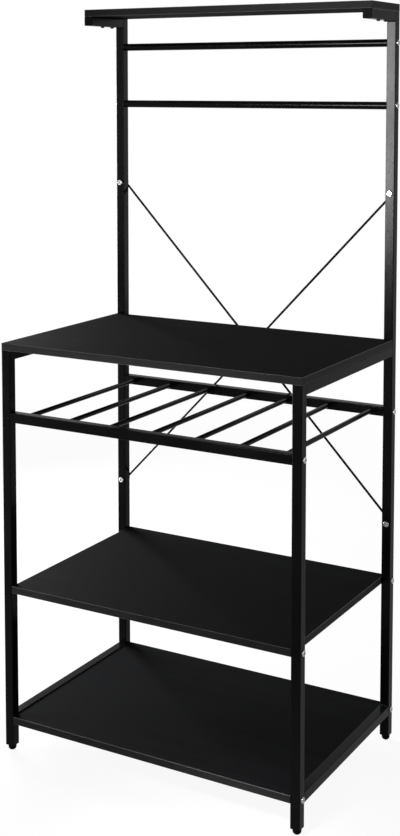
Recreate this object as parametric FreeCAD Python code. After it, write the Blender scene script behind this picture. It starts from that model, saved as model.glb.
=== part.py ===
import FreeCAD, Part
import math
import os

from FreeCAD import Placement, Rotation, Vector

# A steel and board baker's rack. X runs across its width, the front faces -Y and +Z is up.
# The origin is on the floor, below the middle of the two side frames. All sizes are millimetres.

# Overall sizes
WIDTH = 680.0                   # over the outer faces of the side frames
DEPTH = 450.0                   # front posts' front faces to back posts' back faces
HEIGHT = 1550.0                 # floor to the top of the top shelf
POST_LIFT = 13.0                # floor to the lower end of the posts

# Heights of what the side frames carry
WORKTOP_HEIGHT = 860.0          # top face of the worktop
RACK_DROP = 143.0               # worktop's top face down to the bottle rack's top
MIDDLE_SHELF_HEIGHT = 354.0     # top face
BOTTOM_SHELF_HEIGHT = 75.0      # top face
UPPER_BAR_DROP = 79.0           # top of the rack down to the upper bar's axis
BAR_SPACING = 128.0             # upper bar's axis down to the lower bar's axis
BRACE_TOP_RISE = 303.0          # worktop's top face up to the upper brace bolts
BRACE_FOOT_RISE = 115.0         # middle shelf's top face up to the lower brace bolts
TOP_SHELF_REACH = 125.0         # the arms' length in front of the back posts

# Stock that the rack is cut from
TUBE = 20.0                     # side of the square tube
TUBE_WALL = 1.2
TUBE_CORNER = 1.5               # outer corner radius of the square tube
TIGHTEST_CORNER = 0.3           # least corner radius inside the square tube
BOARD = 15.0                    # thickness of every board
EDGE_BAND = 1.0                 # thickness of the band glued round each board
BAR_DIAMETER = 16.0
BAR_WALL = 1.0
BRACE_DIAMETER = 5.0

# Bottle rack
ROD_DIAMETER = 10.0
ROD_COUNT = 7
ROD_MARGIN = 26.0               # outermost rod's axis to the post's inner face

# Bolts, which all are M6, and what they screw into
BOLT_RADIUS = 3.0
BOLT_HEAD_RADIUS = 6.0
BOLT_HEAD_HEIGHT = 3.0
BOLT_HEAD_ROUNDING = 1.0        # radius round the head's outer rim
SOCKET_FLATS = 4.0
SOCKET_DEPTH = 2.0
BOLT_GRIP = 12.0                # length of thread past the post
INSERT_LENGTH = 14.0
SHELF_INSERT_RADIUS = 5.0
WASHER_RADIUS = 6.5
WASHER_THICKNESS = 1.2
NUT_FLATS = 10.0
NUT_HEIGHT = 5.0
BRACE_BOLT_PROUD = 1.5          # thread that shows past the nut

# Wood screws
SCREW_RADIUS = 2.0
SCREW_HEAD_RADIUS = 4.0
SCREW_HEAD_HEIGHT = 3.0
SCREW_HEAD_ROUNDING = 1.5       # radius round the pan head's rim
SCREW_TIP = 4.0                 # length of the pointed tip
SCREW_BITE = 11.0               # length of thread in the board
ACCESS_RADIUS = 5.0             # hole in a rail's lower wall that a screw head passes
WORKTOP_SCREWS_PER_SIDE = 3
WORKTOP_SCREW_INSET = 60.0      # rail's end to the nearest screw
ARM_SCREW_OFFSETS = (56.0, 94.0)   # from the arm's front end

# Plugs and feet
PLUG_FLANGE = 1.0
PLUG_DEPTH = 14.0
FOOT_INSERT_DEPTH = 20.0
FOOT_RADIUS = 8.5
FOOT_DOME = 7.0                 # radius of the rounding under the foot
FOOT_STEM = 21.0                # thread above the foot's pad

# Brace ends
EYE_RADIUS = 7.0
EYE_THICKNESS = 2.0
TANG_WIDTH = 6.0
TANG_LENGTH = 13.0              # bolt's axis to the end of the flattened stretch
BRACE_ROD_START = 9.5           # bolt's axis to where the round rod begins
BRACE_BEND_RADIUS = 1000.0

# Clearances
FREE = 0.3                      # radial, round a bolt or screw in a drilled wall
SNUG = 0.05                     # per side, between pieces that are pressed or screwed together
BRACE_GAP = 0.3                 # between the braces where they cross, and to the posts behind

# Places that follow from the sizes above
HALF_WIDTH = WIDTH / 2
HALF_DEPTH = DEPTH / 2
INNER_HALF_WIDTH = HALF_WIDTH - TUBE
POST_X = HALF_WIDTH - TUBE / 2
POST_Y = HALF_DEPTH - TUBE / 2
BACK_POST_FRONT = HALF_DEPTH - TUBE
WORKTOP_UNDERSIDE = WORKTOP_HEIGHT - BOARD
TOP_SHELF_UNDERSIDE = HEIGHT - BOARD
RACK_AXIS = WORKTOP_HEIGHT - RACK_DROP - TUBE / 2
MIDDLE_SHELF_AXIS = MIDDLE_SHELF_HEIGHT - BOARD / 2
BOTTOM_SHELF_AXIS = BOTTOM_SHELF_HEIGHT - BOARD / 2
UPPER_BAR_AXIS = HEIGHT - UPPER_BAR_DROP
LOWER_BAR_AXIS = UPPER_BAR_AXIS - BAR_SPACING
BRACE_TOP = WORKTOP_HEIGHT + BRACE_TOP_RISE
BRACE_FOOT = MIDDLE_SHELF_HEIGHT + BRACE_FOOT_RISE
BRACE_Y = HALF_DEPTH + BRACE_DIAMETER / 2 + BRACE_GAP
SHELF_BOLT_AXES = (BOTTOM_SHELF_AXIS, MIDDLE_SHELF_AXIS, RACK_AXIS)
BAR_AXES = (LOWER_BAR_AXIS, UPPER_BAR_AXIS)

X_AXIS, Y_AXIS, Z_AXIS = Vector(1, 0, 0), Vector(0, 1, 0), Vector(0, 0, 1)
SIDES = {"left": -1, "right": 1}
ENDS = {"front": -1, "back": 1}

os.makedirs("parts", exist_ok=True)


def save(name, shapes):
    """Writes one node, which is one solid or a group of separate solids."""
    solids = [solid for shape in shapes for solid in shape.Solids]
    piece = solids[0] if len(solids) == 1 else Part.makeCompound(solids)
    piece.exportStep(os.path.join("parts", name + ".step"))


def aim(shape, origin, direction):
    """Stands a shape that was made along +Z at origin, along direction."""
    shape.Placement = Placement(origin, Rotation(Z_AXIS, direction))
    return shape


def block(low, high):
    """A box between two corners."""
    size = high - low
    return Part.makeBox(size.x, size.y, size.z, low)


def rod(radius, start, end):
    """A round bar between two points."""
    axis = end - start
    return Part.makeCylinder(radius, axis.Length, start, axis)


def square_bar(side, length, corner):
    """A square bar along +Z, centred on the axis, with its long edges rounded."""
    bar = block(Vector(-side / 2, -side / 2, 0), Vector(side / 2, side / 2, length))
    long_edges = [e for e in bar.Edges if abs(e.tangentAt(e.FirstParameter).z) > 0.5]
    return bar.makeFillet(corner, long_edges)


def bore_corner():
    """The inner corner radius of the square tube."""
    return max(TUBE_CORNER - TUBE_WALL, TIGHTEST_CORNER)


def square_tube(start, end):
    """A length of the square tube between two points on its axis."""
    axis = end - start
    outside = square_bar(TUBE, axis.Length, TUBE_CORNER)
    inside = square_bar(TUBE - 2 * TUBE_WALL, axis.Length, bore_corner())
    return aim(outside.cut(inside), start, axis)


def hexagon(across_flats, height):
    """A hexagonal prism along +Z."""
    corner = across_flats / 2 / math.cos(math.pi / 6)
    ring = [Vector(corner * math.cos(i * math.pi / 3), corner * math.sin(i * math.pi / 3), 0)
            for i in range(6)]
    return Part.Face(Part.makePolygon(ring + ring[:1])).extrude(Vector(0, 0, height))


def bolt(seat, direction, length):
    """A socket head bolt. Its head's underside is at seat and its shank runs along direction."""
    head = Part.makeCylinder(BOLT_HEAD_RADIUS, BOLT_HEAD_HEIGHT, Vector(0, 0, -BOLT_HEAD_HEIGHT))
    rim = [e for e in head.Edges if e.BoundBox.ZMax < -BOLT_HEAD_HEIGHT + SNUG]
    head = head.makeFillet(BOLT_HEAD_ROUNDING, rim)
    socket = hexagon(SOCKET_FLATS, SOCKET_DEPTH)
    socket.translate(Vector(0, 0, -BOLT_HEAD_HEIGHT))
    shank = Part.makeCylinder(BOLT_RADIUS, length)
    return aim(head.cut(socket).fuse(shank), seat, direction)


def wood_screw(seat, length):
    """A pan head screw that points up. Its head's top is at seat."""
    head = Part.makeCylinder(SCREW_HEAD_RADIUS, SCREW_HEAD_HEIGHT, Vector(0, 0, -SCREW_HEAD_HEIGHT))
    rim = [e for e in head.Edges if e.BoundBox.ZMax < -SCREW_HEAD_HEIGHT + SNUG]
    head = head.makeFillet(SCREW_HEAD_ROUNDING, rim)
    tip = Part.makeCone(SCREW_RADIUS, 0, SCREW_TIP, Vector(0, 0, length - SCREW_TIP))
    shank = Part.makeCylinder(SCREW_RADIUS, length - SCREW_TIP)
    screw = head.fuse([shank, tip]).removeSplitter()
    screw.translate(seat)
    return screw


def screw_hole(radius, x, y, low, high):
    """What a drill takes away between two heights."""
    return rod(radius, Vector(x, y, low), Vector(x, y, high))


def bolt_corners(height):
    """Where a bolt goes in at each post: its seat on the outer face and its direction."""
    return [(Vector(side * HALF_WIDTH, end * POST_Y, height), Vector(-side, 0, 0))
            for side in SIDES.values() for end in ENDS.values()]


def bar_ends(height):
    """Where a bolt goes in for each end of a hanging bar."""
    return [(Vector(side * HALF_WIDTH, POST_Y, height), Vector(-side, 0, 0))
            for side in SIDES.values()]


# Side frames: posts, rails and arms of square tube, welded together

def post(side, end):
    """One upright, drilled for the bolts that pass through it."""
    x, y = side * POST_X, end * POST_Y
    is_back = end == ENDS["back"]
    top = TOP_SHELF_UNDERSIDE if is_back else WORKTOP_UNDERSIDE
    upright = square_tube(Vector(x, y, POST_LIFT), Vector(x, y, top))
    across = SHELF_BOLT_AXES + (BAR_AXES if is_back else ())
    reach = Vector(TUBE, 0, 0)
    holes = [rod(BOLT_RADIUS + FREE, Vector(x, y, z) - reach, Vector(x, y, z) + reach)
             for z in across]
    if is_back:
        reach = Vector(0, TUBE, 0)
        holes += [rod(BOLT_RADIUS + FREE, Vector(x, y, z) - reach, Vector(x, y, z) + reach)
                  for z in (BRACE_FOOT, BRACE_TOP)]
    return upright.cut(holes)


def side_rail(side, height):
    """A rail between a side's two posts, with its axis at height."""
    x = side * POST_X
    return square_tube(Vector(x, -BACK_POST_FRONT, height), Vector(x, BACK_POST_FRONT, height))


def worktop_screw_places():
    """Where the screws go up through a top rail, from front to back."""
    reach = BACK_POST_FRONT - WORKTOP_SCREW_INSET
    step = 2 * reach / (WORKTOP_SCREWS_PER_SIDE - 1)
    return [-reach + i * step for i in range(WORKTOP_SCREWS_PER_SIDE)]


def top_rail(side):
    """The rail that carries one end of the worktop, with its screw and access holes."""
    axis = WORKTOP_UNDERSIDE - TUBE / 2
    x = side * POST_X
    holes = []
    for y in worktop_screw_places():
        holes.append(screw_hole(SCREW_RADIUS + FREE, x, y, axis, WORKTOP_HEIGHT))
        holes.append(screw_hole(ACCESS_RADIUS, x, y, axis - TUBE, axis))
    return side_rail(side, axis).cut(holes)


def arm_front():
    """The front of the top shelf and of its arms."""
    return BACK_POST_FRONT - TOP_SHELF_REACH


def arm_screw_places():
    """Where the screws go up through an arm."""
    return [arm_front() + offset for offset in ARM_SCREW_OFFSETS]


def shelf_arm(side):
    """The arm that carries one end of the top shelf. Its front end is plugged."""
    axis = TOP_SHELF_UNDERSIDE - TUBE / 2
    x = side * POST_X
    arm = square_tube(Vector(x, arm_front() + PLUG_FLANGE, axis), Vector(x, BACK_POST_FRONT, axis))
    return arm.cut([screw_hole(SCREW_RADIUS + FREE, x, y, axis - TUBE, axis + TUBE)
                    for y in arm_screw_places()])


# Boards

def board(low, high, drilled):
    """A board's core and the four strips of band round its edge, both drilled."""
    band_x, band_y = Vector(EDGE_BAND, 0, 0), Vector(0, EDGE_BAND, 0)
    core = block(low + band_x + band_y, high - band_x - band_y)
    strips = [block(low, Vector(high.x, low.y + EDGE_BAND, high.z)),
              block(Vector(low.x, high.y - EDGE_BAND, low.z), high),
              block(low + band_y, Vector(low.x + EDGE_BAND, high.y - EDGE_BAND, high.z)),
              block(Vector(high.x - EDGE_BAND, low.y + EDGE_BAND, low.z), high - band_y)]
    if drilled:
        core = core.cut(drilled)
        strips = [strip.cut(drilled) for strip in strips]
    return core, strips


def insert_seat(seat, direction):
    """The middle of the core's end face behind a bolt's seat, where its insert starts."""
    return seat + direction * (TUBE + EDGE_BAND)


def bolted_shelf(axis):
    """A shelf between the side frames, with the holes for its bolts and inserts."""
    low = Vector(-INNER_HALF_WIDTH, -HALF_DEPTH, axis - BOARD / 2)
    high = Vector(INNER_HALF_WIDTH, HALF_DEPTH, axis + BOARD / 2)
    drilled = []
    for seat, direction in bolt_corners(axis):
        start = insert_seat(seat, direction)
        drilled.append(rod(SHELF_INSERT_RADIUS + SNUG, start, start + direction * INSERT_LENGTH))
        drilled.append(rod(BOLT_RADIUS + FREE, seat, start))
    return board(low, high, drilled)


def worktop():
    """The worktop, which covers the front posts and the top rails and meets the back posts."""
    low = Vector(-HALF_WIDTH, -HALF_DEPTH, WORKTOP_UNDERSIDE)
    high = Vector(HALF_WIDTH, BACK_POST_FRONT, WORKTOP_HEIGHT)
    drilled = [screw_hole(SCREW_RADIUS + SNUG, side * POST_X, y, WORKTOP_UNDERSIDE,
                          WORKTOP_UNDERSIDE + SCREW_BITE + SNUG)
               for side in SIDES.values() for y in worktop_screw_places()]
    return board(low, high, drilled)


def top_shelf():
    """The top shelf, which lies on the arms and on the back posts' upper ends."""
    low = Vector(-HALF_WIDTH, arm_front(), TOP_SHELF_UNDERSIDE)
    high = Vector(HALF_WIDTH, HALF_DEPTH, HEIGHT)
    drilled = [screw_hole(SCREW_RADIUS + SNUG, side * POST_X, y, TOP_SHELF_UNDERSIDE,
                          TOP_SHELF_UNDERSIDE + SCREW_BITE + SNUG)
               for side in SIDES.values() for y in arm_screw_places()]
    return board(low, high, drilled)


# Bottle rack and hanging bars

def rack_rail(end):
    """The bottle rack's front or back rail."""
    y = end * POST_Y
    return square_tube(Vector(-INNER_HALF_WIDTH, y, RACK_AXIS), Vector(INNER_HALF_WIDTH, y, RACK_AXIS))


def bottle_rod_places():
    """The rods' places across the rack, from left to right."""
    reach = INNER_HALF_WIDTH - ROD_MARGIN
    pitch = 2 * reach / (ROD_COUNT - 1)
    return [-reach + i * pitch for i in range(ROD_COUNT)]


def bottle_rod(x):
    """A rod from the front rail to the back rail."""
    return rod(ROD_DIAMETER / 2, Vector(x, -BACK_POST_FRONT, RACK_AXIS),
               Vector(x, BACK_POST_FRONT, RACK_AXIS))


def hanging_bar(height):
    """A round tube between the back posts."""
    start, end = Vector(-INNER_HALF_WIDTH, POST_Y, height), Vector(INNER_HALF_WIDTH, POST_Y, height)
    return rod(BAR_DIAMETER / 2, start, end).cut(rod(BAR_DIAMETER / 2 - BAR_WALL, start, end))


def threaded_plug(plug, seat, direction):
    """Bores a plug that was made along +Z, and stands it just inside the post behind seat."""
    plug = plug.cut(Part.makeCylinder(BOLT_RADIUS + SNUG, INSERT_LENGTH))
    return aim(plug, seat + direction * TUBE, direction)


def rail_insert(seat, direction):
    """The threaded plug in the end of a bottle rack rail."""
    side = TUBE - 2 * TUBE_WALL - 2 * SNUG
    return threaded_plug(square_bar(side, INSERT_LENGTH, bore_corner() + SNUG), seat, direction)


def bar_insert(seat, direction):
    """The threaded plug in the end of a hanging bar."""
    plug = Part.makeCylinder(BAR_DIAMETER / 2 - BAR_WALL - SNUG, INSERT_LENGTH)
    return threaded_plug(plug, seat, direction)


def shelf_insert(seat, direction):
    """The threaded insert in the end of a shelf."""
    sleeve = Part.makeCylinder(SHELF_INSERT_RADIUS, INSERT_LENGTH)
    sleeve = sleeve.cut(Part.makeCylinder(BOLT_RADIUS + SNUG, INSERT_LENGTH))
    return aim(sleeve, insert_seat(seat, direction), direction)


# Braces behind the back posts

def brace_eye(centre, towards):
    """The flattened end of a brace: a disc and a tang that points towards the other end."""
    face = Vector(centre.x, HALF_DEPTH, centre.z)
    disc = Part.makeCylinder(EYE_RADIUS, EYE_THICKNESS, face, Y_AXIS)
    tang = block(Vector(0, 0, -TANG_WIDTH / 2), Vector(TANG_LENGTH, EYE_THICKNESS, TANG_WIDTH / 2))
    angle = math.degrees(math.atan2(-towards.z, towards.x))
    tang.rotate(Vector(0, 0, 0), Y_AXIS, angle)
    tang.translate(face)
    return disc.fuse(tang)


def bowed_rod(start, end, bow):
    """A round rod whose middle stands back by bow, bent there on a large radius."""
    corner = (start + end) / 2 + Vector(0, bow, 0)
    into, out = (corner - start).normalize(), (end - corner).normalize()
    half_turn = into.getAngle(out) / 2
    trim = BRACE_BEND_RADIUS * math.tan(half_turn)
    inward = (out - into).normalize()
    crown = corner + inward * (BRACE_BEND_RADIUS / math.cos(half_turn) - BRACE_BEND_RADIUS)
    bend_start, bend_end = corner - into * trim, corner + out * trim
    path = Part.Wire([Part.LineSegment(start, bend_start).toShape(),
                      Part.Arc(bend_start, crown, bend_end).toShape(),
                      Part.LineSegment(bend_end, end).toShape()])
    profile = Part.Wire(Part.makeCircle(BRACE_DIAMETER / 2, start, into))
    return path.makePipeShell([profile], True, False)


def brace(side, bow):
    """A brace from the top bolt on one side down to the foot bolt on the other."""
    top = Vector(side * POST_X, BRACE_Y, BRACE_TOP)
    foot = Vector(-side * POST_X, BRACE_Y, BRACE_FOOT)
    down = (foot - top).normalize()
    start, end = top + down * BRACE_ROD_START, foot - down * BRACE_ROD_START
    straight = rod(BRACE_DIAMETER / 2, start, end)
    length_of_metal = bowed_rod(start, end, bow) if bow else straight
    eyes = [brace_eye(top, down), brace_eye(foot, -down)]
    holes = [rod(BOLT_RADIUS + FREE, Vector(p.x, 0, p.z), Vector(p.x, DEPTH, p.z))
             for p in (top, foot)]
    return length_of_metal.fuse(eyes).cut(holes)


def brace_bolt_places():
    """The middle of each brace bolt's seat, on the back posts' front faces."""
    return [Vector(side * POST_X, BACK_POST_FRONT, z)
            for side in SIDES.values() for z in (BRACE_FOOT, BRACE_TOP)]


def brace_washer(seat):
    """A washer behind a brace's eye."""
    ring = Part.makeCylinder(WASHER_RADIUS, WASHER_THICKNESS)
    ring = ring.cut(Part.makeCylinder(BOLT_RADIUS + FREE, WASHER_THICKNESS))
    return aim(ring, seat + Y_AXIS * (TUBE + EYE_THICKNESS), Y_AXIS)


def brace_nut(seat):
    """A nut behind a washer."""
    nut = hexagon(NUT_FLATS, NUT_HEIGHT).cut(Part.makeCylinder(BOLT_RADIUS + SNUG, NUT_HEIGHT))
    return aim(nut, seat + Y_AXIS * (TUBE + EYE_THICKNESS + WASHER_THICKNESS), Y_AXIS)


# Plugs and feet

def plug_body(depth):
    """A plastic plug for the square tube, along +Z from its flange's outer face."""
    flange = square_bar(TUBE, PLUG_FLANGE, TUBE_CORNER)
    body = square_bar(TUBE - 2 * TUBE_WALL - 2 * SNUG, depth, bore_corner() + SNUG)
    body.translate(Vector(0, 0, PLUG_FLANGE))
    return flange.fuse(body)


def arm_plug(side):
    """The plug that closes the front end of an arm."""
    front = Vector(side * POST_X, arm_front(), TOP_SHELF_UNDERSIDE - TUBE / 2)
    return aim(plug_body(PLUG_DEPTH), front, Y_AXIS)


def foot_insert(side, end):
    """The bored plug in the lower end of a post, which the foot's stem screws into."""
    bore = Part.makeCylinder(BOLT_RADIUS + SNUG, FOOT_INSERT_DEPTH + PLUG_FLANGE)
    plug = plug_body(FOOT_INSERT_DEPTH).cut(bore)
    return aim(plug, Vector(side * POST_X, end * POST_Y, POST_LIFT - PLUG_FLANGE), Z_AXIS)


def foot(side, end):
    """A levelling foot: a pad with a rounded underside, and its threaded stem."""
    top = POST_LIFT - PLUG_FLANGE
    sole = FOOT_RADIUS - FOOT_DOME
    middle = FOOT_DOME * math.sqrt(0.5)
    outline = [Part.LineSegment(Vector(0, 0, 0), Vector(sole, 0, 0)).toShape(),
               Part.Arc(Vector(sole, 0, 0), Vector(sole + middle, 0, FOOT_DOME - middle),
                        Vector(FOOT_RADIUS, 0, FOOT_DOME)).toShape(),
               Part.LineSegment(Vector(FOOT_RADIUS, 0, FOOT_DOME),
                                Vector(FOOT_RADIUS, 0, top)).toShape(),
               Part.LineSegment(Vector(FOOT_RADIUS, 0, top), Vector(0, 0, top)).toShape(),
               Part.LineSegment(Vector(0, 0, top), Vector(0, 0, 0)).toShape()]
    pad = Part.Face(Part.Wire(outline)).revolve(Vector(0, 0, 0), Z_AXIS, 360)
    stem = Part.makeCylinder(BOLT_RADIUS, FOOT_STEM, Vector(0, 0, top))
    whole = pad.fuse(stem)
    whole.translate(Vector(side * POST_X, end * POST_Y, 0))
    return whole


for side_name, side in SIDES.items():
    for end_name, end in ENDS.items():
        save(f"{side_name}_{end_name}_post", [post(side, end)])
        save(f"{side_name}_{end_name}_foot", [foot(side, end)])
    save(f"{side_name}_top_rail", [top_rail(side)])
    save(f"{side_name}_bottom_rail", [side_rail(side, BOTTOM_SHELF_AXIS)])
    save(f"{side_name}_shelf_arm", [shelf_arm(side)])

for board_name, (core, strips) in {"worktop": worktop(),
                                   "top_shelf": top_shelf(),
                                   "middle_shelf": bolted_shelf(MIDDLE_SHELF_AXIS),
                                   "bottom_shelf": bolted_shelf(BOTTOM_SHELF_AXIS)}.items():
    save(board_name, [core])
    save(f"{board_name}_edge_band", strips)

for end_name, end in ENDS.items():
    save(f"rack_{end_name}_rail", [rack_rail(end)])
for number, x in enumerate(bottle_rod_places(), start=1):
    save(f"bottle_rod_{number}", [bottle_rod(x)])
save("upper_hanging_bar", [hanging_bar(UPPER_BAR_AXIS)])
save("lower_hanging_bar", [hanging_bar(LOWER_BAR_AXIS)])
save("left_to_right_brace", [brace(SIDES["left"], 0)])
save("right_to_left_brace", [brace(SIDES["right"], BRACE_DIAMETER + BRACE_GAP)])

CROSS_BOLT_LENGTH = TUBE + BOLT_GRIP
BRACE_BOLT_LENGTH = TUBE + EYE_THICKNESS + WASHER_THICKNESS + NUT_HEIGHT + BRACE_BOLT_PROUD
BAR_SEATS = [place for height in BAR_AXES for place in bar_ends(height)]
SHELF_SEATS = bolt_corners(MIDDLE_SHELF_AXIS) + bolt_corners(BOTTOM_SHELF_AXIS)

save("bar_bolts", [bolt(*place, CROSS_BOLT_LENGTH) for place in BAR_SEATS])
save("bar_inserts", [bar_insert(*place) for place in BAR_SEATS])
save("rack_bolts", [bolt(*place, CROSS_BOLT_LENGTH) for place in bolt_corners(RACK_AXIS)])
save("rack_rail_inserts", [rail_insert(*place) for place in bolt_corners(RACK_AXIS)])
save("middle_shelf_bolts",
     [bolt(*place, CROSS_BOLT_LENGTH) for place in bolt_corners(MIDDLE_SHELF_AXIS)])
save("bottom_shelf_bolts",
     [bolt(*place, CROSS_BOLT_LENGTH) for place in bolt_corners(BOTTOM_SHELF_AXIS)])
save("shelf_inserts", [shelf_insert(*place) for place in SHELF_SEATS])

save("brace_bolts", [bolt(seat, Y_AXIS, BRACE_BOLT_LENGTH) for seat in brace_bolt_places()])
save("brace_washers", [brace_washer(seat) for seat in brace_bolt_places()])
save("brace_nuts", [brace_nut(seat) for seat in brace_bolt_places()])

save("worktop_screws",
     [wood_screw(Vector(side * POST_X, y, WORKTOP_UNDERSIDE - TUBE_WALL), TUBE_WALL + SCREW_BITE)
      for side in SIDES.values() for y in worktop_screw_places()])
save("top_shelf_screws",
     [wood_screw(Vector(side * POST_X, y, TOP_SHELF_UNDERSIDE - TUBE), TUBE + SCREW_BITE)
      for side in SIDES.values() for y in arm_screw_places()])

save("arm_plugs", [arm_plug(side) for side in SIDES.values()])
save("foot_inserts", [foot_insert(side, end) for side in SIDES.values() for end in ENDS.values()])
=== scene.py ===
import math

import bmesh
import bpy
from mathutils import Matrix, Vector


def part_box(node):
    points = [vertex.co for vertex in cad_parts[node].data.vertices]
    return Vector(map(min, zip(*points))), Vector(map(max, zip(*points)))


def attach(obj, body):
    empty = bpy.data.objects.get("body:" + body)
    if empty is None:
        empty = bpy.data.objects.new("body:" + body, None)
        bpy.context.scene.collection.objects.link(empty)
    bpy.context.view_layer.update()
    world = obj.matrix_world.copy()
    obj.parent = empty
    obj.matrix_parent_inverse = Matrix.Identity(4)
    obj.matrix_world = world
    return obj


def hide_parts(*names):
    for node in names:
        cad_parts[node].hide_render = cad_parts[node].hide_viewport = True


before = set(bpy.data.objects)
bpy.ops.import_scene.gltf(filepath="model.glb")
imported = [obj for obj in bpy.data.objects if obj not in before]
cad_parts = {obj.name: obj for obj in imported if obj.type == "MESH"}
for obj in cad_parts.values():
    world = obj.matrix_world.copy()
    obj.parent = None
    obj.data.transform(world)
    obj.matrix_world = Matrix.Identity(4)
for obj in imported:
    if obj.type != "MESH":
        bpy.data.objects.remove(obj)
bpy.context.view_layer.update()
scene = bpy.context.scene
scene.view_settings.view_transform = "Standard"
MM = 0.001

# Camera. It stands in front of the rack and to its right, lower than the top shelf, and looks to the
# left and a little down. The lens is shifted down so that the uprights stay close to parallel.
lens = bpy.data.cameras.new("camera")
lens.lens = 59.29
lens.shift_y = -0.268
camera = bpy.data.objects.new("camera", lens)
camera.location = (1.3978, -2.4320, 1.3815)
CAMERA_DIP = 4.45
CAMERA_TURN = 29.91
camera.rotation_euler = (math.radians(90 - CAMERA_DIP), 0, math.radians(CAMERA_TURN))
scene.collection.objects.link(camera)
scene.camera = camera


# Studio. The floor is a dull grey sheet that glows white for the camera, as the room round it does,
# and shiny surfaces mirror a share of that white. Nine soft boxes light the rack and draw its soft
# shadow on the sheet.
FLOOR_TINT = 0.09
FLOOR_GLOW_NEAR = 0.92
FLOOR_GLOW_FAR = 1.0
GLOW_NEAR_REACH = 1.3
GLOW_FAR_REACH = 3.5
ROOM_TINT = (0.006, 0.006, 0.0065, 1)
GLOSSY_SHARE = 0.5
FLOOR_SIZE = 60


def add_node(tree, kind, **settings):
    """Adds a node and sets its options."""
    node = tree.nodes.new(kind)
    for option, value in settings.items():
        setattr(node, option, value)
    return node


def math_node(tree, operation, first, second):
    """A math node. Each operand is a socket or a number."""
    node = add_node(tree, "ShaderNodeMath", operation=operation)
    for slot, operand in zip(node.inputs, (first, second)):
        if isinstance(operand, (int, float)):
            slot.default_value = operand
        else:
            tree.links.new(operand, slot)
    return node.outputs[0]


def range_node(tree, value, low, high, out_low, out_high):
    """Maps a value from one range to another."""
    node = add_node(tree, "ShaderNodeMapRange")
    tree.links.new(value, node.inputs["Value"])
    limits = {"From Min": low, "From Max": high, "To Min": out_low, "To Max": out_high}
    for name, number in limits.items():
        node.inputs[name].default_value = number
    return node.outputs["Result"]


def white_share(tree):
    """How much of the white surroundings a ray sees: all from the camera, a share in a mirror."""
    path = add_node(tree, "ShaderNodeLightPath")
    direct = math_node(tree, "MAXIMUM", path.outputs["Is Camera Ray"],
                       path.outputs["Is Transmission Ray"])
    mirrored = math_node(tree, "MULTIPLY", path.outputs["Is Glossy Ray"], GLOSSY_SHARE)
    return math_node(tree, "MAXIMUM", direct, mirrored)


bpy.ops.object.select_all(action="DESELECT")
bpy.ops.mesh.primitive_plane_add(size=FLOOR_SIZE)
floor = bpy.context.object
floor.name = "studio_floor"
floor_finish = bpy.data.materials.new("floor_paper")
floor_finish.use_nodes = True
tree = floor_finish.node_tree
paper = tree.nodes["Principled BSDF"]
paper.inputs["Base Color"].default_value = (FLOOR_TINT, FLOOR_TINT, FLOOR_TINT, 1)
paper.inputs["Roughness"].default_value = 1.0
paper.inputs["Specular IOR Level"].default_value = 0.0
paper.inputs["Emission Color"].default_value = (1, 1, 1, 1)
place = add_node(tree, "ShaderNodeTexCoord")
reach = add_node(tree, "ShaderNodeVectorMath", operation="LENGTH")
tree.links.new(place.outputs["Object"], reach.inputs[0])
glow = range_node(tree, reach.outputs["Value"], GLOW_NEAR_REACH, GLOW_FAR_REACH,
                  FLOOR_GLOW_NEAR, FLOOR_GLOW_FAR)
tree.links.new(math_node(tree, "MULTIPLY", glow, white_share(tree)), paper.inputs["Emission Strength"])
floor.data.materials.append(floor_finish)

room = bpy.data.worlds.new("room")
room.use_nodes = True
scene.world = room
tree = room.node_tree
dim = tree.nodes["Background"]
dim.inputs["Color"].default_value = ROOM_TINT
white = add_node(tree, "ShaderNodeBackground")
white.inputs["Color"].default_value = (1, 1, 1, 1)
blend = add_node(tree, "ShaderNodeMixShader")
tree.links.new(white_share(tree), blend.inputs[0])
tree.links.new(dim.outputs[0], blend.inputs[1])
tree.links.new(white.outputs[0], blend.inputs[2])
tree.links.new(blend.outputs[0], tree.nodes["World Output"].inputs["Surface"])


def soft_box(name, place, aim, width, height, watts, spread=180):
    """A rectangular lamp at place that faces aim."""
    data = bpy.data.lights.new(name, "AREA")
    data.shape = "RECTANGLE"
    data.size, data.size_y, data.energy = width, height, watts
    data.spread = math.radians(spread)
    lamp = bpy.data.objects.new(name, data)
    lamp.location = place
    lamp.rotation_euler = (Vector(aim) - Vector(place)).to_track_quat("-Z", "Y").to_euler()
    lamp.visible_camera = False
    scene.collection.objects.link(lamp)


soft_box("left_box", (-1.5, -0.65, 0.32), (-0.3, -0.2, 0.40), 0.6, 0.5, 5.5, 80)
soft_box("left_back_box", (-1.75, 0.80, 0.96), (-0.2, 0, 0.5), 0.8, 0.9, 58)
soft_box("front_left_box", (-1.02, -3.0, 1.28), (0.33, 0.22, 1.33), 0.42, 1.15, 2.9, 30)
soft_box("front_left_card", (-2.45, -3.0, 1.35), (-0.3, 0.2, 1.35), 0.8, 1.5, 3.0)
soft_box("front_right_box", (2.7, -2.4, 2.3), (0, 0, 0.8), 1.0, 1.0, 12)
soft_box("right_box", (2.6, 0.1, 1.1), (0.3, 0.1, 1.0), 0.6, 1.0, 17)
soft_box("back_card", (0.17, 1.0, 1.22), (-0.33, 0.2, 1.22), 0.2, 0.95, 0.5)
soft_box("back_box", (1.6, 3.6, 3.3), (0, 0, 0.9), 1.4, 1.0, 8, 120)
soft_box("front_floor_box", (0.1, -1.1, 1.1), (0.24, -0.42, 0), 0.2, 0.2, 0.9, 30)


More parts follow.
